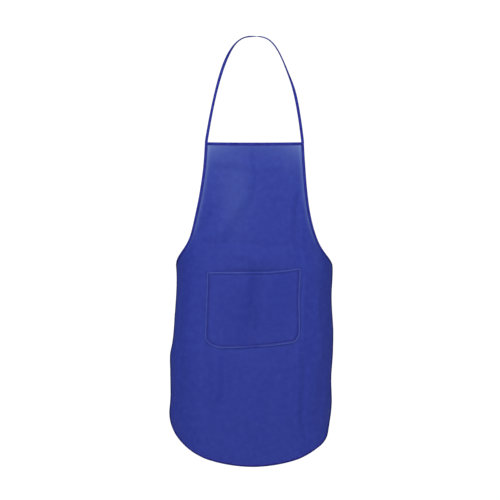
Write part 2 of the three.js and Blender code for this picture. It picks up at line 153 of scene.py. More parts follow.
def curve_through(points, value):
    """A smooth curve through (station, height) points, by Hermite pieces with averaged slopes."""
    stations, heights = np.array(points, float).T
    slopes = np.gradient(heights, stations)
    value = np.clip(value, stations[0], stations[-1])
    index = np.clip(np.searchsorted(stations, value) - 1, 0, len(stations) - 2)
    width = stations[index + 1] - stations[index]
    t = (value - stations[index]) / width
    start = heights[index] * (1 + 2 * t) * (1 - t) ** 2 + slopes[index] * width * t * (1 - t) ** 2
    end = heights[index + 1] * t * t * (3 - 2 * t) + slopes[index + 1] * width * t * t * (t - 1)
    return start + end


def turn_radius(y):
    """Radius on which the skirt's sides turn back, a little wider at the hem."""
    share = smoothstep(-np.asarray(y, float), ARMHOLE_DROP, BODY_LENGTH)
    return WAIST_TURN_RADIUS + (HEM_TURN_RADIUS - WAIST_TURN_RADIUS) * share


def sway(y):
    """How far to the right the cloth has drifted at this height. It drifts to the left."""
    return -SWAY_DISTANCE * smoothstep(-np.asarray(y, float), SWAY_START, SWAY_END)


def turn_angle(x, y):
    return np.maximum(0, np.abs(x) - FRONT_HALF_WIDTH) / turn_radius(y)


CORNER_DEPTH = WAIST_TURN_RADIUS * (1 - math.cos(float(turn_angle(LOOP_PATTERN_X, 0))))


def drape(x, y, level):
    """Pattern points to places in the row frame, one row of three for each point."""
    x, y, level = np.broadcast_arrays(*(np.asarray(v, float) for v in (x, y, level)))
    radius = turn_radius(y)
    angle = turn_angle(x, y)
    across = np.minimum(np.abs(x), FRONT_HALF_WIDTH) + radius * np.sin(angle)
    depth = curve_through(PROFILE, -y / BODY_LENGTH) / 1000
    depth = depth + radius * (1 - np.cos(angle)) - CORNER_DEPTH
    return np.stack([
        np.sign(x) * (across + level * np.sin(angle)) + sway(y),
        depth - level * np.cos(angle),
        BIB_TOP_HEIGHT + y,
    ], axis=-1)


# ---- Folds: soft ridges and creases in the hanging cloth, in mm on the pattern ----

# How far the cloth's two edges hang to the right of the pattern. Each pair is the distance below the bib's
# top and the shift, in mm.
LEFT_WAVES = [
    (0, 0), (70, 1.5), (140, 0), (210, -2), (270, -1), (325, -4), (345, -2), (480, -2), (570, -3.5),
    (592, -6.5), (650, -4.5), (715, -2.5), (780, -5), (820, 1), (870, 12), (914, 17),
]
RIGHT_WAVES = [
    (0, 0), (60, -2), (250, -6.5), (315, -4), (340, 0.5), (435, -1.5), (550, 7.5), (595, 8), (670, 3.5),
    (730, 4), (800, -0.5), (845, 3), (870, -4), (914, -7),
]
TOP_SAG = 0.001
HEM_LIFT = 0.0035
FOLD_STRENGTH = 1.4
RIPPLE_HEIGHT = 0.00025

# Each fold is a start, an end, how wide it is and how high it stands. A negative height is a valley.
FOLDS = [
    # storage crease across the bib, and the fold line down its middle
    ((-128, -52), (40, -66), 15, 1.3),
    ((-126, -74), (-20, -88), 12, -1.5),
    ((20, -70), (128, -58), 14, 0.7),
    ((4, -5), (-6, -190), 11, -1.6),
    ((-24, -60), (-40, -230), 22, 2.0),
    # slack that runs in from the armholes
    ((-22, -150), (-108, -285), 20, 3.0),
    ((-104, -180), (-150, -300), 13, -2.8),
    ((-132, -170), (-176, -290), 9, 1.2),
    ((125, -140), (134, -330), 8, -3.0),
    ((107, -150), (112, -330), 13, 2.4),
    ((60, -120), (96, -230), 22, -1.0),
    # above and beside the pocket
    ((-115, -283), (118, -291), 9, -0.9),
    ((-100, -318), (60, -326), 10, 0.9),
    ((-50, -368), (-58, -560), 26, 1.8),
    ((-2, -362), (-8, -590), 18, -3.8),
    ((52, -372), (46, -550), 24, 1.6),
    ((138, -350), (143, -585), 5, 1.6),
    # long soft folds down the skirt
    ((-108, -590), (-96, -740), 13, 3.2),
    ((-128, -560), (-124, -760), 12, -1.6),
    ((-80, -600), (-76, -760), 12, -1.6),
    ((126, -570), (132, -860), 12, 3.0),
    ((146, -590), (150, -840), 10, -2.2),
    ((100, -590), (104, -840), 14, -1.3),
    ((-40, -640), (-34, -880), 30, -1.6),
    ((10, -620), (14, -860), 26, 1.2),
    ((52, -640), (46, -880), 26, -1.2),
    ((-178, -400), (-184, -560), 14, 2.0),
    ((-206, -560), (-212, -760), 14, -1.8),
    ((184, -400), (190, -640), 14, 1.8),
    ((206, -620), (204, -800), 14, -1.8),
]


def ridge(x, y, start, end, width, height):
    """A soft fold along a line, fading out at both ends."""
    start, end = np.array(start) / 1000, np.array(end) / 1000
    along = end - start
    length = np.hypot(*along)
    share = ((x - start[0]) * along[0] + (y - start[1]) * along[1]) / length ** 2
    beside = ((x - start[0]) * along[1] - (y - start[1]) * along[0]) / length
    fade = smoothstep(share, -0.15, 0.2) * (1 - smoothstep(share, 0.8, 1.15))
    return height / 1000 * fade * np.exp(-(beside / (width / 1000)) ** 2)


def sideways(x, y):
    """How far the hanging cloth stands off its pattern to the right, from edge to edge."""
    half = np.where(y > -ARMHOLE_DROP, bib_half_width(y), SKIRT_HALF)
    right_share = np.clip(0.5 + x / (2 * half), 0, 1)
    down = -np.asarray(y, float) * 1000
    left = curve_through(LEFT_WAVES, down)
    right = curve_through(RIGHT_WAVES, down)
    return ((1 - right_share) * left + right_share * right) / 1000


def sag(x, y):
    """How far the cloth's middle hangs down at the bib's top edge, and is drawn up at the hem."""
    top = TOP_SAG * (1 - smoothstep(-y, 0, 0.16))
    hem = HEM_LIFT * smoothstep(-y, BODY_LENGTH - 0.12, BODY_LENGTH)
    return (top - hem) * (1 - np.clip(x / BIB_HALF, -1, 1) ** 2)


def relief(x, y):
    """How far the cloth stands forward, in folds along slightly wandering lines and in a fine ripple."""
    x, y = np.broadcast_arrays(np.asarray(x, float), np.asarray(y, float))
    wander_x = 0.005 * np.sin(y / 0.041 + 1.3) + 0.003 * np.sin(x / 0.023 + y / 0.06)
    wander_y = 0.004 * np.sin(x / 0.037 + 0.4) + 0.002 * np.sin(x / 0.017 - y / 0.05)
    height = FOLD_STRENGTH * sum(ridge(x + wander_x, y + wander_y, *fold) for fold in FOLDS)
    ripple = np.sin(x / 0.019 + 2 * np.sin(y / 0.07)) * np.sin(y / 0.027 + 1.5 * np.sin(x / 0.06 + 1))
    return height + RIPPLE_HEIGHT * ripple


def draped(x, y, level):
    """Pattern points to places on the folded, hanging cloth."""
    x, y, level = np.broadcast_arrays(*(np.asarray(v, float) for v in (x, y, level)))
    places = drape(x, y, level + relief(x, y))
    places[..., 0] += sideways(x, y)
    places[..., 2] -= sag(x, y)
    return places


# ---- Outlines on the pattern ----

def cubic_bezier(p0, p1, p2, p3, count):
    t = np.linspace(0, 1, count)[:, None]
    p0, p1, p2, p3 = (np.asarray(p, float) for p in (p0, p1, p2, p3))
    return (1 - t) ** 3 * p0 + 3 * (1 - t) ** 2 * t * p1 + 3 * (1 - t) * t * t * p2 + t ** 3 * p3


def right_armhole(count=200):
    """From the bib's top corner down to the waist corner."""
    top = (BIB_HALF, 0)
    waist = (SKIRT_HALF, -ARMHOLE_DROP)
    upper = (BIB_HALF + math.tan(ARMHOLE_LEAN) * ARMHOLE_REACH, -ARMHOLE_REACH)
    lower = (SKIRT_HALF - math.cos(ARMHOLE_FLARE_ANGLE) * ARMHOLE_FLARE_LENGTH,
             -ARMHOLE_DROP + math.sin(ARMHOLE_FLARE_ANGLE) * ARMHOLE_FLARE_LENGTH)
    return cubic_bezier(top, upper, lower, waist, count)


ARMHOLE = right_armhole()


def bib_half_width(y):
    return np.interp(-np.asarray(y), -ARMHOLE[:, 1], ARMHOLE[:, 0])


def hem_height(x):
    share = np.clip(np.abs(x) / SKIRT_HALF, 0, 1) ** HEM_EXPONENT
    return HEM_RISE - BODY_LENGTH - HEM_RISE * np.sqrt(1 - share)


def skirt_edge(count=90):
    """From the left waist corner down the side, round the hem and up the right side."""
    angle = np.linspace(0, math.pi / 2, count)
    hem = np.stack([
        -SKIRT_HALF * np.cos(angle) ** (2 / HEM_EXPONENT),
        HEM_RISE - BODY_LENGTH - HEM_RISE * np.sin(angle),
    ], axis=1)
    left = np.vstack([[(-SKIRT_HALF, -ARMHOLE_DROP)], hem])
    right = left[::-1][1:] * (-1, 1)
    return np.vstack([left, right])


def distances_along(line):
    """How far along a line each of its points lies."""
    return np.r_[0, np.cumsum(np.linalg.norm(np.diff(line, axis=0), axis=1))]


def at_distances(line, lengths, marks):
    """Points on a line at the marks, where its own points lie at the lengths."""
    return np.stack([np.interp(marks, lengths, column) for column in line.T], axis=1)


def evenly(line, step):
    """The same line with points at even steps."""
    lengths = distances_along(line)
    return at_distances(line, lengths, np.linspace(0, lengths[-1], int(round(lengths[-1] / step)) + 1))


def outward(run):
    """Unit vectors out of the cloth, which lies on the run's left."""
    direction = np.gradient(run, axis=0)
    direction /= np.hypot(*direction.T)[:, None]
    return np.stack([direction[:, 1], -direction[:, 0]], axis=1)


# ---- Mesh helpers ----

def new_mesh(name, points, faces, material, pattern, tone=None):
    """A smooth mesh that also holds each point's place on the flat pattern and its painted light and shade.
    """
    mesh = bpy.data.meshes.new(name)
    mesh.from_pydata(np.asarray(points).tolist(), [], faces)
    mesh.polygons.foreach_set("use_smooth", [True] * len(mesh.polygons))
    mesh.materials.append(material)
    flat = np.zeros((len(points), 3))
    flat[:, :pattern.shape[1]] = pattern
    mesh.attributes.new("pattern", "FLOAT_VECTOR", "POINT").data.foreach_set("vector", flat.ravel())
    # Painted light: above zero mixes towards a painted highlight colour, below zero towards a painted shade
    # colour.
    if tone is not None:
        mesh.attributes.new("tone", "FLOAT", "POINT").data.foreach_set("value", np.asarray(tone, float))
    mesh.update()
    piece = bpy.data.objects.new(name, mesh)
    bpy.context.scene.collection.objects.link(piece)
    return piece


def grid_faces(rows, columns, first=0, close_columns=False, flip=False):
    faces = []
    for i in range(rows - 1):
        for j in range(columns if close_columns else columns - 1):
            here = first + i * columns
            below = here + columns
            beside = (j + 1) % columns
            face = (here + j, here + beside, below + beside, below + j)
            faces.append(face[::-1] if flip else face)
    return faces


def shell(name, x, y, front, back, material, tone):
    """A thin closed shell over a grid of pattern points, with rows running down the cloth."""
    rows, columns = x.shape
    back_of = rows * columns
    faces = grid_faces(rows, columns, flip=True) + grid_faces(rows, columns, back_of)
    rim = [(0, j) for j in range(columns)]
    rim += [(i, columns - 1) for i in range(1, rows)]
    rim += [(rows - 1, j) for j in range(columns - 2, -1, -1)]
    rim += [(i, 0) for i in range(rows - 2, 0, -1)]
    ring = [i * columns + j for i, j in rim]
    for a, b in zip(ring, ring[1:] + ring[:1]):
        faces.append((a, b, b + back_of, a + back_of))
    points = np.vstack([draped(x, y, front).reshape(-1, 3), draped(x, y, back).reshape(-1, 3)])
    pattern = np.stack([x.ravel(), y.ravel()], axis=1)
    return new_mesh(name, points, faces, material, np.vstack([pattern, pattern]),
                    np.r_[tone.ravel(), tone.ravel()])


def sweep(name, sections, material, pattern, tone=None):
    """A closed body through closed sections of points, one row of points for each station."""
    sections = np.asarray(sections)
    stations, around = sections.shape[:2]
    faces = grid_faces(stations, around, close_columns=True)
    faces.append(tuple(range(around))[::-1])
    faces.append(tuple((stations - 1) * around + k for k in range(around)))
    return new_mesh(name, sections.reshape(-1, 3), faces, material, pattern, tone)


# ---- Materials ----

# Sockets of a Mix node that mixes colours.
MIX_FIRST, MIX_SECOND, MIX_RESULT = 6, 7, 2
CLOTH_THREAD, TAPE_RIB, SEWING_PLY = 0.0009, 0.0007, 0.0004


def new_material(name, roughness, sheen=0.0, specular=0.5):
    material = bpy.data.materials.new(name)
    material.use_nodes = True
    nodes = material.node_tree.nodes
    shader = nodes["Principled BSDF"]
    shader.inputs["Roughness"].default_value = roughness
    shader.inputs["Sheen Weight"].default_value = sheen
    shader.inputs["Sheen Roughness"].default_value = 0.45
    shader.inputs["Sheen Tint"].default_value = (0.3, 0.4, 1, 1)
    shader.inputs["Specular IOR Level"].default_value = specular
    return material, nodes, material.node_tree.links, shader


def linear(red, green, blue):
    """An sRGB colour, 0 to 255, as linear light."""
    def convert(value):
        value /= 255
        return value / 12.92 if value <= 0.04045 else ((value + 0.055) / 1.055) ** 2.4
    return (convert(red), convert(green), convert(blue), 1.0)


def pattern_coordinates(nodes):
    node = nodes.new("ShaderNodeAttribute")
    node.attribute_name = "pattern"
    return node.outputs["Vector"]


def noise(nodes, links, vector, scale, detail, roughness):
    node = nodes.new("ShaderNodeTexNoise")
    node.inputs["Scale"].default_value = scale
    node.inputs["Detail"].default_value = detail
    node.inputs["Roughness"].default_value = roughness
    links.new(vector, node.inputs["Vector"])
    return node.outputs["Fac"]


def threads(nodes, links, vector, direction, pitch):
    """Rounded threads side by side, from 0 in the grooves to 1 on top."""
    node = nodes.new("ShaderNodeTexWave")
    node.wave_type = "BANDS"
    node.bands_direction = direction
    node.wave_profile = "SIN"
    node.inputs["Scale"].default_value = math.pi / (10 * pitch)
    node.inputs["Distortion"].default_value = 0.6
    node.inputs["Detail"].default_value = 1.0
    node.inputs["Detail Scale"].default_value = 0.4
    links.new(vector, node.inputs["Vector"])
    return node.outputs["Fac"]


def math_node(nodes, links, operation, a, b):
    node = nodes.new("ShaderNodeMath")
    node.operation = operation
    for value, socket in ((a, node.inputs[0]), (b, node.inputs[1])):
        if isinstance(value, (int, float)):
            socket.default_value = value
        else:
            links.new(value, socket)
    return node.outputs[0]


def ramp(nodes, links, factor, stops):
    node = nodes.new("ShaderNodeValToRGB")
    elements = node.color_ramp.elements
    while len(elements) < len(stops):
        elements.new(0.5)
    for element, (position, color) in zip(elements, stops):
        element.position = position
        element.color = color
    links.new(factor, node.inputs["Fac"])
    return node.outputs["Color"]


def mix(nodes, links, factor, a, b):
    node = nodes.new("ShaderNodeMix")
    node.data_type = "RGBA"
    links.new(factor, node.inputs["Factor"])
    for value, socket in ((a, node.inputs[MIX_FIRST]), (b, node.inputs[MIX_SECOND])):
        if isinstance(value, tuple):
            socket.default_value = value
        else:
            links.new(value, socket)
    return node.outputs[MIX_RESULT]


def shaded(nodes, links, color, highlight_colour, painted_shade):
    """The colour with the mesh's painted light laid over it: painted highlight above zero and painted shade
    below.
    """
    tone = nodes.new("ShaderNodeAttribute")
    tone.attribute_name = "tone"
    below = math_node(nodes, links, "MULTIPLY", tone.outputs["Fac"], -1.0)
    return mix(nodes, links, below, mix(nodes, links, tone.outputs["Fac"], color, highlight_colour), painted_shade)


def bump(nodes, links, shader, height, distance, strength, under=None):
    node = nodes.new("ShaderNodeBump")
    node.inputs["Distance"].default_value = distance
    node.inputs["Strength"].default_value = strength
    links.new(height, node.inputs["Height"])
    if under is not None:
        links.new(under, node.inputs["Normal"])
    links.new(node.outputs["Normal"], shader.inputs["Normal"])
    return node.outputs["Normal"]


def cloth_material():
    material, nodes, links, shader = new_material("apron_cloth", 0.5, specular=0.16)
    vector = pattern_coordinates(nodes)
    blotches = noise(nodes, links, vector, 60, 4, 0.65)
    specks = noise(nodes, links, vector, 620, 2, 0.5)
    warp = threads(nodes, links, vector, "X", CLOTH_THREAD)
    weft = threads(nodes, links, vector, "Y", CLOTH_THREAD)
    weave = math_node(nodes, links, "MULTIPLY", warp, weft)
    tone = math_node(nodes, links, "ADD", blotches, math_node(nodes, links, "MULTIPLY", specks, 0.25))
    tone = math_node(nodes, links, "ADD", tone, math_node(nodes, links, "MULTIPLY", weave, 0.10))
    color = ramp(nodes, links, tone, [
        (0.30, linear(33, 46, 136)), (0.62, linear(39, 53, 143)), (0.95, linear(46, 62, 150)),
    ])
    # Colours of the painted highlight and the painted shade laid over the cloth.
    color = shaded(nodes, links, color, linear(122, 146, 192), linear(32, 36, 120))
    links.new(color, shader.inputs["Base Color"])
    fuzz = math_node(nodes, links, "ADD", weave, math_node(nodes, links, "MULTIPLY", specks, 0.6))
    slack = bump(nodes, links, shader, noise(nodes, links, vector, 24, 2, 0.5), 0.0020, 0.35)
    bump(nodes, links, shader, fuzz, 0.00012, 0.7, under=slack)
    return material


def tape_material():
    material, nodes, links, shader = new_material("binding_tape", 0.9, sheen=0.04, specular=0.0)
    vector = pattern_coordinates(nodes)
    blotches = noise(nodes, links, vector, 45, 3, 0.6)
    ribs = threads(nodes, links, vector, "DIAGONAL", TAPE_RIB)
    tone = math_node(nodes, links, "ADD", blotches, math_node(nodes, links, "MULTIPLY", ribs, 0.2))
    color = ramp(nodes, links, tone, [
        (0.3, linear(32, 36, 117)), (0.6, linear(42, 47, 134)), (0.9, linear(54, 60, 150)),
    ])
    # Colours of the painted highlight and the painted shade laid over the tape.
    color = shaded(nodes, links, color, linear(96, 98, 190), linear(12, 12, 58))
    links.new(color, shader.inputs["Base Color"])
    bump(nodes, links, shader, ribs, 0.00010, 0.6)
    return material


def thread_material():
    material, nodes, links, shader = new_material("sewing_thread", 0.6, specular=0.2)
    vector = pattern_coordinates(nodes)
    plies = threads(nodes, links, vector, "DIAGONAL", SEWING_PLY)
    color = ramp(nodes, links, plies, [(0.2, linear(36, 42, 124)), (0.8, linear(56, 64, 150))])
    links.new(color, shader.inputs["Base Color"])
    bump(nodes, links, shader, plies, 0.00006, 0.5)
    return material


CLOTH = cloth_material()
TAPE = tape_material()
THREAD = thread_material()


# ---- Camera: a long lens, level with the middle of the apron ----

SENSOR_WIDTH = 36
CAMERA_DISTANCE = 6.0
VIEW_HEIGHT = 1.406
VIEW_CENTRE = (-0.0124, -0.600)


def make_camera():
    data = bpy.data.cameras.new("camera")
    data.sensor_width = SENSOR_WIDTH
    data.lens = SENSOR_WIDTH * CAMERA_DISTANCE / VIEW_HEIGHT
    camera = bpy.data.objects.new("camera", data)
    camera.location = (VIEW_CENTRE[0], -CAMERA_DISTANCE, VIEW_CENTRE[1])
    camera.rotation_euler = (math.pi / 2, 0, 0)
    bpy.context.scene.collection.objects.link(camera)
    bpy.context.scene.camera = camera


make_camera()


# ---- Tapes that hang free: the neck loop and the two ties ----

LOOP_STEP = 0.003
TIE_STEP = 0.004


def tape_section(width, thickness):
    """Points round a flat tape with rounded edges, as (across, through)."""
    radius = thickness / 2
    angle = np.linspace(-math.pi / 2, math.pi / 2, 6)
    right = np.stack([width / 2 - radius + radius * np.cos(angle), radius * np.sin(angle)], axis=1)
    inner = np.linspace(width / 2 - radius, -width / 2 + radius, 6)[1:-1]
    top = np.stack([inner, np.full(len(inner), radius)], axis=1)
    return np.vstack([right, top, -right, -top])


def free_tape(name, places, across, through):
    section = tape_section(TAPE_WIDTH, FOLDED_TAPE)
    sections = (places[:, None, :] + section[None, :, :1] * across[:, None, :]
                + section[None, :, 1:] * through[:, None, :])
    pattern = np.stack([
        np.tile(section[:, 0], len(places)), np.repeat(distances_along(places), len(section)),
    ], axis=1)
    return sweep(name, sections, TAPE, pattern)


def catmull_rom(points, per_span):
    """A smooth line through the points, as centripetal Catmull-Rom."""
    points = np.asarray(points, float)
    ends = np.vstack([2 * points[0] - points[1], points, 2 * points[-1] - points[-2]])
    line = [points[0]]
    for p0, p1, p2, p3 in zip(ends, ends[1:], ends[2:], ends[3:]):
        t1 = np.linalg.norm(p1 - p0) ** 0.5
        t2 = t1 + np.linalg.norm(p2 - p1) ** 0.5
        t3 = t2 + np.linalg.norm(p3 - p2) ** 0.5
        for t in np.linspace(t1, t2, per_span + 1)[1:]:
            a1 = (t1 - t) / t1 * p0 + t / t1 * p1
            a2 = (t2 - t) / (t2 - t1) * p1 + (t - t1) / (t2 - t1) * p2
            a3 = (t3 - t) / (t3 - t2) * p2 + (t - t2) / (t3 - t2) * p3
            b1 = (t2 - t) / t2 * a1 + t / t2 * a2
            b2 = (t3 - t) / (t3 - t1) * a2 + (t - t1) / (t3 - t1) * a3
            line.append((t2 - t) / (t2 - t1) * b1 + (t - t1) / (t2 - t1) * b2)
    return np.array(line)


LOOP_HALF_SPAN = float(drape(LOOP_PATTERN_X, 0, 0)[0])


def loop_line():
    """From the bib's left corner over the crown to its right corner, at even steps."""
    points = [(CROWN_LEVEL_LENGTH / 2, 0, FOLDED_TAPE / 2)]
    points += [(a * LOOP_HALF_SPAN, 0, FOLDED_TAPE / 2 - d * LOOP_RISE) for a, d in LOOP_ROUTE]
    half = catmull_rom(points, 8)
    # The tape runs on past the hinge and ends inside the armhole's binding.
    end = drape(LOOP_PATTERN_X, -LOOP_TUCK, 0)
    half = np.vstack([half, end])
    right = half.copy()
    right[:, 0] += curve_through(LOOP_BOW, -half[:, 2] * 1000) / 1000
    line = np.vstack([half[::-1] * (-1, 1, 1), right])
    return evenly(line, LOOP_STEP)


def loop_frames(line):
    """Directions across and through the tape, which rolls over as it climbs to the neck."""
    tangent = np.gradient(line, axis=0)
    tangent /= np.linalg.norm(tangent, axis=1)[:, None]
    lengths = distances_along(line)
    from_crown = (lengths - np.interp(0, line[:, 0], lengths)) * 1000
    roll = np.radians(curve_through(LOOP_ROLL, from_crown))
    back = np.array([0.0, 1.0, 0.0])
    inwards = np.cross(back, tangent)
    across = np.cos(roll)[:, None] * back + np.sin(roll)[:, None] * inwards
    return across, np.cross(tangent, across)


def make_neck_loop():
    places = loop_line()
    loop = free_tape("neck_tape", places, *loop_frames(places))
    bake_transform(loop)
    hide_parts("neck_loop")


TIE_TOP = (SKIRT_HALF - TAPE_WIDTH / 2 - 0.002, -ARMHOLE_DROP - 0.008)
TIE_LEVEL = -CAD_BINDING_FACE - SEWN_GAP - TIE_STANDOFF - FOLDED_TAPE / 2


def make_tie(sign, name, node, body):
    top = drape(sign * TIE_TOP[0], TIE_TOP[1], TIE_LEVEL)
    angle = float(turn_angle(*TIE_TOP))
    step = TIE_LENGTH / (len(TIE_ROUTE) - 1)
    points = []
    for i, (inwards, back) in enumerate(TIE_ROUTE):
        shift = float(sway(TIE_TOP[1] - i * step)) - sign * inwards / 1000
        points.append(top + np.array([shift, back / 1000, -i * step]))
    places = evenly(catmull_rom(points, 6), TIE_STEP)
    across = np.tile([sign * math.cos(angle), math.sin(angle), 0], (len(places), 1))
    through = np.tile([math.sin(angle), -sign * math.cos(angle), 0], (len(places), 1))
    tie = free_tape(name, places, across, through)
    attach(tie, body)
    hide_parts(node)


make_neck_loop()
make_tie(-1, "left_tie_tape", "left_waist_tie", LEFT_TIE_BODY)
make_tie(1, "right_tie_tape", "right_waist_tie", RIGHT_TIE_BODY)


# ---- Front panel ----

PANEL_COLUMNS, BIB_ROWS, SKIRT_ROWS = 161, 84, 135


def bunched(count):
    """Steps from -1 to 1 that crowd towards both ends."""
    even = np.linspace(-1, 1, count)
    return 0.5 * even + 0.5 * np.sin(even * math.pi / 2)


def panel_grid():
    """Points of the pattern in rows from the top edge to the hem."""
    share = bunched(PANEL_COLUMNS)
    bib_y = np.linspace(0, -ARMHOLE_DROP, BIB_ROWS)
    bib_x = share[None, :] * bib_half_width(bib_y)[:, None]
    bib_y = np.repeat(bib_y[:, None], len(share), axis=1)
    down = np.linspace(0, 1, SKIRT_ROWS + 1)[1:, None]
    skirt_x = np.repeat(share[None, :] * SKIRT_HALF, len(down), axis=0)
    skirt_y = -ARMHOLE_DROP + down * (hem_height(share * SKIRT_HALF)[None, :] + ARMHOLE_DROP)
    return np.vstack([bib_x, skirt_x]), np.vstack([bib_y, skirt_y])


def panel_painted_light(x, y):
    """Painted light on the cloth: painted highlights along the bib's top edge, most at its top corners, along
    the rims inside its side bindings, on a patch left of the middle and just above the hem, and painted shade
    lower down.
    """
    from_side = bib_half_width(y) - np.abs(x)
    across = np.clip(np.abs(x) / BIB_HALF, 0, 1)
    # Painted highlight along the top edge, strongest towards the corners.
    top = np.exp(y / 0.018) * (0.12 + 0.22 * across ** 3)
    top += 0.07 * np.exp(y / 0.055) * (0.3 + 0.7 * across ** 2)
    corner_highlight = 0.22 * np.exp(-np.hypot(np.maximum(from_side, 0), y) / 0.034)
    on_bib = 1 - smoothstep(-y, 0.22, 0.34)
    rim_highlight = 0.20 * on_bib * np.exp(-((from_side - 0.009) / 0.006) ** 2)
    patch_highlight = 0.07 * np.exp(-((x + 0.050) / 0.045) ** 2 - ((y + 0.15) / 0.10) ** 2)
    hem = 0.10 * np.exp(-(y - hem_height(x)) / 0.012) * (y < -ARMHOLE_DROP)
    # Painted shade lower down the skirt.
    lower_painted_shade = -0.10 * smoothstep(-y, 0.5, 0.8)
    return top + corner_highlight + rim_highlight + patch_highlight + hem + lower_painted_shade


def flat_area(x, y):
    """Area of the pattern that a grid covers."""
    dx1, dy1 = x[1:, 1:] - x[:-1, :-1], y[1:, 1:] - y[:-1, :-1]
    dx2, dy2 = x[1:, :-1] - x[:-1, 1:], y[1:, :-1] - y[:-1, 1:]
    return float(np.abs(dx1 * dy2 - dx2 * dy1).sum() / 2)


def make_panel():
    x, y = panel_grid()
    level = np.full(x.shape, CLOTH_HALF)
    panel = shell("front_cloth", x, y, level, -level, CLOTH, panel_painted_light(x, y))
    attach(panel, APRON_BODY)
    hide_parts("front_panel")
    return panel, flat_area(x, y)


# ---- Bindings ----

# Where the tape's fold begins, out from the cloth's edge, and how far it reaches from there.
FOLD_START, FOLD_DEPTH = -0.0002, 0.0012
LEG_POINTS = 7
LEG_BULGE = 0.00018
EDGE_TURNED_IN = 0.00025
BINDING_STEP = 0.004


def binding_section():
    """Points round a folded tape, as (distance out from the cloth's edge, level)."""
    inner, outer = BINDING_INSIDE, BINDING_FACE
    leg = np.linspace(-BINDING_REACH, FOLD_START, LEG_POINTS)
    bulge = LEG_BULGE * np.sin(np.linspace(0, math.pi, LEG_POINTS))
    front = np.stack([leg, outer + bulge - EDGE_TURNED_IN * (np.arange(LEG_POINTS) == 0)], axis=1)
    angle = np.linspace(math.pi / 2, -math.pi / 2, 9)[1:-1]
    fold = np.stack([FOLD_START + FOLD_DEPTH * np.cos(angle), outer * np.sin(angle)], axis=1)
    back = (front * (1, -1))[::-1]
    under = np.array([(-BINDING_REACH, -inner), (-0.003, -inner), (0.0003, -inner * 0.8),
                      (0.0003, inner * 0.8), (-0.003, inner), (-BINDING_REACH, inner)])
    return np.vstack([front, fold, back, under])


def make_binding(name, node, run, first_out=None, last_out=None, press=1.0):
    """A folded tape along an edge. Its ends can be cut to meet the next tape, and press flattens it."""
    run = evenly(run, BINDING_STEP)
    out = outward(run)
    if first_out is not None:
        out[0] = first_out
    if last_out is not None:
        out[-1] = last_out
    section = binding_section()
    distance, level = section[:, 0][None, :], section[:, 1][None, :]
    x = run[:, :1] + out[:, :1] * distance
    y = run[:, 1:] + out[:, 1:] * distance
    lengths = distances_along(run)[:, None]
    pucker = 1 + 0.07 * np.sin(lengths / 0.0062 * math.pi) + 0.05 * np.sin(lengths / 0.017 * math.pi)
    points = draped(x, y, level * pucker * press)
    pattern = np.stack([
        np.broadcast_to(distance, x.shape).ravel(), np.broadcast_to(lengths, x.shape).ravel(),
    ], axis=1)
    # Painted light on the tape: a painted highlight along the hem's inner edge, painted shade down the
    # skirt's sides and the darkest painted shade at the waist corners.
    on_hem = smoothstep(-y, BODY_LENGTH - 0.15, BODY_LENGTH - 0.05)
    inner = smoothstep(-distance, 0.002, 0.005)
    hem_highlight = 0.16 * on_hem * inner
    on_skirt = smoothstep(-y, ARMHOLE_DROP - 0.04, ARMHOLE_DROP)
    painted_shade = -0.6 * on_skirt * (1 - 0.2 * on_hem) * (1 - on_hem * inner)
    corner_shade = -0.5 * np.exp(-np.hypot(np.abs(x) - SKIRT_HALF, y + ARMHOLE_DROP) / 0.022)
    piece = sweep(name, points, TAPE, pattern, (hem_highlight + painted_shade + corner_shade).ravel())
    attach(piece, APRON_BODY)
    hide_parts(node)
    return piece


def mirror(run):
    return (run * (-1, 1))[::-1]


def mitre(out, neighbour):
    """Outward direction at a corner, long enough to reach the outer edges of both tapes."""
    middle = out + neighbour
    return middle / float(middle @ out)


def make_bindings():
    left = ARMHOLE * (-1, 1)
    waist_out = mitre(outward(left)[-1], np.array([-1.0, 0.0]))
    skirt_out = mitre(np.array([-1.0, 0.0]), outward(left)[-1])
    flip = np.array([-1, 1])
    top_half = BIB_HALF - BINDING_REACH + TOP_TUCK
    top = np.array([(top_half, 0.0), (-top_half, 0.0)])
    return [
        make_binding("top_tape", "top_binding", top, press=0.9),
        make_binding("left_armhole_tape", "left_armhole_binding", left, last_out=waist_out),
        make_binding("right_armhole_tape", "right_armhole_binding", mirror(left), first_out=waist_out * flip),
        make_binding("skirt_tape", "skirt_binding", skirt_edge(), skirt_out, skirt_out * flip),
    ]


# ---- Pocket ----

POCKET_LEFT = POCKET_OFFSET - POCKET_WIDTH / 2
POCKET_RIGHT = POCKET_OFFSET + POCKET_WIDTH / 2
POCKET_BOTTOM = -POCKET_DROP - POCKET_HEIGHT
LEFT_CORNER = (0.058, 0.036)
RIGHT_CORNER = (0.020, 0.032)
BOTTOM_CLIMB = 1.3 * BOTTOM_RISE
MOUTH_SEAM_END = 0.009
# Centre of the painted shade at the pocket's pucker.
PUCKER = (0.117, -0.547)
POCKET_COLUMNS, POCKET_ROWS = 141, 120


def mouth_height(x):
    share = np.maximum(0, (x - POCKET_OFFSET) / (POCKET_RIGHT - POCKET_OFFSET))
    return -POCKET_DROP + MOUTH_RISE * share * share


def bottom_height(x):
    """The bottom edge climbs to the right and turns up round both corners."""
    slope = np.clip((x - POCKET_LEFT - LEFT_CORNER[0]) / (POCKET_WIDTH - LEFT_CORNER[0]), 0, 1)
    base = POCKET_BOTTOM + BOTTOM_CLIMB * slope ** 2
    left = np.clip((POCKET_LEFT + LEFT_CORNER[0] - x) / LEFT_CORNER[0], 0, 1)
    right = np.clip((x - POCKET_RIGHT + RIGHT_CORNER[0]) / RIGHT_CORNER[0], 0, 1)
    base = base + LEFT_CORNER[1] * (1 - np.sqrt(1 - left ** 2))
    return base + RIGHT_CORNER[1] * (1 - np.sqrt(1 - right ** 2))


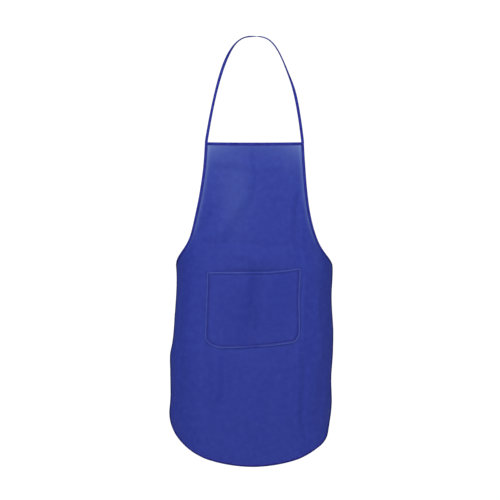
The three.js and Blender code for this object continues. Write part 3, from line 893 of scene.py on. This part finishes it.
def pocket_edge():
    """Down the left side, along the bottom and up the right side."""
    x = POCKET_OFFSET + POCKET_WIDTH / 2 * np.sin(np.linspace(-math.pi / 2, math.pi / 2, 400))
    bottom = np.stack([x, bottom_height(x)], axis=1)
    left_top = [(POCKET_LEFT, float(mouth_height(POCKET_LEFT)))]
    right_top = [(POCKET_RIGHT, float(mouth_height(POCKET_RIGHT)))]
    return evenly(np.vstack([left_top, bottom, right_top]), 0.002)


def pocket_lift(x, y):
    """How far the pocket stands off the panel, most in the middle of its mouth."""
    half_width = POCKET_WIDTH / 2 - POCKET_TURNING
    across = np.clip((x - POCKET_OFFSET) / half_width, -1, 1)
    depth = POCKET_HEIGHT - POCKET_TURNING - LEFT_CORNER[1]
    down = np.clip((mouth_height(x) - y) / depth, 0, 1)
    return POCKET_GAPE * ((1 - across ** 2) * (1 - down ** 2)) ** 1.5


def distance_to(run, x, y):
    """Shortest distance from each point to a line of points."""
    points = np.stack([x.ravel(), y.ravel()], axis=1)
    nearest = np.full(len(points), np.inf)
    for chunk in np.array_split(run, 12):
        gaps = np.hypot(points[:, :1] - chunk[:, 0], points[:, 1:] - chunk[:, 1])
        nearest = np.minimum(nearest, gaps.min(axis=1))
    return nearest.reshape(x.shape)


def rim(edge):
    """Thickness of the pocket by the distance from its edge: a soft turned ridge, then the seam's groove."""
    mm = edge * 1000
    ridge_part = 0.35 * smoothstep(mm, 0, 3) + 2.0 * np.exp(-((mm - 3.8) / 2.2) ** 2)
    groove = -0.6 * np.exp(-((mm - 8.2) / 1.5) ** 2)
    return (0.45 + ridge_part + groove + 0.4 * smoothstep(mm, 9, 14)) / 1000


def pocket_painted_light(x, y, side, mouth):
    """Painted light: a painted highlight on the turned ridge, painted shade in the seam's groove, at its
    pucker and down the middle's old fold, and a little darker all over.
    """
    mm = np.minimum(side, mouth) * 1000
    ridge = 0.21 * np.exp(-((mm - 3.6) / 1.9) ** 2)
    pucker = 0.5 * np.exp(-np.hypot(x - PUCKER[0], y - PUCKER[1]) / 0.012)
    groove = (np.where(side < mouth, 0.85, 0.40) + pucker) * np.exp(-((mm - 8.2) / 1.8) ** 2)
    crease_shade = 0.20 * np.exp(-(x / 0.017) ** 2)
    return ridge - groove - crease_shade - 0.05


def make_pocket():
    even = np.linspace(-1, 1, POCKET_COLUMNS)
    share = np.sin(even * math.pi / 2) * 0.35 + even * 0.65
    x = np.repeat((POCKET_OFFSET + share * POCKET_WIDTH / 2)[None, :], POCKET_ROWS, axis=0)
    down = np.linspace(0, 1, POCKET_ROWS)[:, None]
    y = mouth_height(x) + down * (bottom_height(x) - mouth_height(x))
    side = distance_to(pocket_edge(), x, y)
    mouth = mouth_height(x) - y
    underside = CLOTH_HALF + 0.0001 + pocket_lift(x, y)
    front = underside + rim(np.minimum(side, mouth))
    pocket = shell("pocket_cloth", x, y, front, underside, CLOTH, pocket_painted_light(x, y, side, mouth))
    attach(pocket, APRON_BODY)
    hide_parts("pocket_panel")
    return pocket, flat_area(x, y)


def pocket_seam_level(x, y):
    edge = np.minimum(distance_to(pocket_edge(), x, y), mouth_height(x) - y)
    return CLOTH_HALF + 0.0003 + pocket_lift(x, y) + rim(edge)


# ---- Stitches: real short lengths of thread, dipping into the cloth at both ends ----

def stitch_template(segments=6):
    """One stitch from -1 to 1. Each ring is its place along the stitch, its radius and its lift."""
    rings = [(-1.0, 0.35, -0.6), (-0.75, 0.85, -0.1), (0.0, 1.0, 0.25), (0.75, 0.85, -0.1), (1.0, 0.35, -0.6)]
    points = []
    for along, size, lift in rings:
        for k in range(segments):
            angle = 2 * math.pi * k / segments
            points.append((along, size * math.cos(angle), size * math.sin(angle) + lift))
    faces = grid_faces(len(rings), segments, close_columns=True, flip=True)
    faces.append(tuple(range(segments)))
    faces.append(tuple((len(rings) - 1) * segments + k for k in range(segments))[::-1])
    return np.array(points), faces


def threads_mesh(name, starts, ends, tops, radius):
    """One closed little body for each start and end. tops are points straight out from the starts."""
    template, faces = stitch_template()
    middle = (starts + ends) / 2
    along = (ends - starts) / 2
    out = tops - starts
    out /= np.linalg.norm(out, axis=1)[:, None]
    beside = np.cross(out, along)
    beside /= np.linalg.norm(beside, axis=1)[:, None]
    points = (middle[:, None, :] + template[None, :, :1] * along[:, None, :]
              + template[None, :, 1:2] * radius * beside[:, None, :]
              + template[None, :, 2:] * radius * out[:, None, :])
    count = len(template)
    all_faces = [tuple(v + i * count for v in face) for i in range(len(starts)) for face in faces]
    pattern = np.tile(template * (STITCH_LENGTH / 2, radius, radius), (len(starts), 1))
    return new_mesh(name, points.reshape(-1, 3), all_faces, THREAD, pattern)


def seam_points(run, inset, trim):
    """Start and end of each stitch along a run, on the pattern."""
    run = evenly(run, 0.0005)
    line = run - outward(run) * inset
    lengths = distances_along(line)
    first = np.arange(trim, lengths[-1] - trim - STITCH_LENGTH, STITCH_PITCH)
    return at_distances(line, lengths, first), at_distances(line, lengths, first + STITCH_LENGTH)


def make_seam(name, node, run, inset, trim, level_at, both_sides=True):
    a, b = seam_points(run, inset, trim)
    starts, ends, tops = [], [], []
    for side in (1, -1) if both_sides else (1,):
        level_a, level_b = level_at(*a.T), level_at(*b.T)
        starts.append(draped(*a.T, side * level_a))
        ends.append(draped(*b.T, side * level_b))
        tops.append(draped(*a.T, side * (level_a + 0.001)))
    piece = threads_mesh(name, np.vstack(starts), np.vstack(ends), np.vstack(tops), STITCH_RADIUS)
    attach(piece, APRON_BODY)
    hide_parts(node)
    return piece


def on_binding(x, y):
    return np.full(np.shape(x), BINDING_FACE + 0.0001)


def mouth_run():
    """Along the pocket's mouth from right to left, between the seams of its sides."""
    x = np.linspace(POCKET_RIGHT - MOUTH_SEAM_END, POCKET_LEFT + MOUTH_SEAM_END, 200)
    return np.stack([x, mouth_height(x)], axis=1)


def make_seams():
    left = ARMHOLE * (-1, 1)
    top_half = BIB_HALF - BINDING_REACH - 0.001
    top = np.array([(top_half, 0.0), (-top_half, 0.0)])
    binding = [
        make_seam("top_stitches", "top_stitching", top, SEAM_INSET, 0.001, on_binding),
        make_seam("left_armhole_stitches", "left_armhole_stitching", left, SEAM_INSET, 0.002, on_binding),
        make_seam("right_armhole_stitches", "right_armhole_stitching", mirror(left), SEAM_INSET, 0.002,
                  on_binding),
        make_seam("skirt_stitches", "skirt_stitching", skirt_edge(), SEAM_INSET, 0.002, on_binding),
    ]
    pocket = [
        make_seam("pocket_stitches", "pocket_stitching", pocket_edge(), POCKET_SEAM_INSET, 0.004,
                  pocket_seam_level, both_sides=False),
        make_seam("pocket_mouth_stitches", "pocket_mouth_stitching", mouth_run(), POCKET_SEAM_INSET, 0.001,
                  pocket_seam_level, both_sides=False),
    ]
    return binding, pocket


def make_bartack(name, node, x, y, level, length=0.007, width=0.002):
    """A dense bar of short upright threads, side by side."""
    across = np.arange(-length / 2, length / 2 + 1e-6, TACK_PITCH)
    a = np.stack([x + across, np.full(len(across), y - width / 2)], axis=1)
    b = a + (0.0001, width)
    starts, ends, tops = draped(*a.T, level), draped(*b.T, level), draped(*a.T, level + 0.001)
    piece = threads_mesh(name, starts, ends, tops, TACK_RADIUS)
    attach(piece, APRON_BODY)
    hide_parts(node)
    return piece


def make_bartacks():
    for side, sign, pocket_x in (("left", -1, POCKET_LEFT), ("right", 1, POCKET_RIGHT)):
        neck_x = sign * (BIB_HALF - TAPE_WIDTH / 2)
        waist_x = sign * (SKIRT_HALF - TAPE_WIDTH / 2)
        tack_x = pocket_x - sign * POCKET_TURNING / 2
        tack_y = float(mouth_height(pocket_x)) - 0.003
        tape_level = BINDING_FACE + 0.00035
        pocket_level = float(pocket_seam_level(np.array([tack_x]), np.array([tack_y]))[0]) + 0.0002
        waist_y = -ARMHOLE_DROP - 0.004
        make_bartack(f"{side}_neck_tack", f"{side}_neck_bartack", neck_x, -0.007, tape_level)
        make_bartack(f"{side}_waist_tack", f"{side}_waist_bartack", waist_x, waist_y, tape_level)
        make_bartack(f"{side}_pocket_tack", f"{side}_pocket_bartack", tack_x, tack_y, pocket_level)


panel, panel_area = make_panel()
bindings = make_bindings()
pocket, pocket_area = make_pocket()
binding_seams, pocket_seams = make_seams()
make_bartacks()


# ---- Floor, light and world ----

FLOOR_HEIGHT = -1.45
FLOOR_SIDE, FLOOR_FRONT, FLOOR_BACK = 3, -3.4, 1.15
# The surroundings look white, but light the apron only a little.
BACKDROP_STRENGTH, AMBIENT_STRENGTH = 1.05, 0.2

# Each light's name, place, target, width and height, and power in watts.
LIGHTS = [
    ("top_softbox", (-0.55, -1.25, 1.5), (0, 0, -0.5), (1.3, 0.9), 39),
    ("front_softbox", (-0.6, -3.3, -0.1), (0, 0, -0.6), (1.5, 1.1), 35),
    ("right_fill", (2.6, -1.2, 0.1), (0, 0, -0.7), (1.2, 1.2), 22),
    ("left_fill", (-2.6, -1.2, 0.1), (0, 0, -0.7), (1.2, 1.2), 8),
    ("back_fill", (0.4, 3.0, 0.4), (0, 0, -0.6), (2.0, 1.6), 55),
]


def make_floor():
    mesh = bpy.data.meshes.new("floor")
    corners = [(-FLOOR_SIDE, FLOOR_FRONT), (FLOOR_SIDE, FLOOR_FRONT),
               (FLOOR_SIDE, FLOOR_BACK), (-FLOOR_SIDE, FLOOR_BACK)]
    mesh.from_pydata([(x, y, FLOOR_HEIGHT) for x, y in corners], [], [(0, 1, 2, 3)])
    floor = bpy.data.objects.new("floor", mesh)
    bpy.context.scene.collection.objects.link(floor)
    material, _, _, shader = new_material("floor", 0.9)
    shader.inputs["Base Color"].default_value = (0.86, 0.86, 0.86, 1)
    mesh.materials.append(material)


def area_light(name, place, target, size, power):
    data = bpy.data.lights.new(name, "AREA")
    data.shape = "RECTANGLE"
    data.size, data.size_y = size
    data.energy = power
    light = bpy.data.objects.new(name, data)
    light.location = place
    direction = np.array(target) - np.array(place)
    yaw = math.atan2(-direction[0], direction[1])
    pitch = math.atan2(direction[2], math.hypot(direction[0], direction[1]))
    light.rotation_euler = (math.pi / 2 + pitch, 0, yaw)
    bpy.context.scene.collection.objects.link(light)


def make_world():
    world = bpy.data.worlds.new("world")
    bpy.context.scene.world = world
    world.use_nodes = True
    nodes, links = world.node_tree.nodes, world.node_tree.links
    background = nodes["Background"]
    background.inputs["Color"].default_value = (1, 1, 1, 1)
    path = nodes.new("ShaderNodeLightPath")
    strength = nodes.new("ShaderNodeMapRange")
    links.new(path.outputs["Is Camera Ray"], strength.inputs["Value"])
    strength.inputs["To Min"].default_value = AMBIENT_STRENGTH
    strength.inputs["To Max"].default_value = BACKDROP_STRENGTH
    links.new(strength.outputs["Result"], background.inputs["Strength"])


make_floor()
make_world()
for light in LIGHTS:
    area_light(*light)
bpy.context.scene.view_settings.view_transform = "Standard"
bpy.context.scene.view_settings.look = "None"
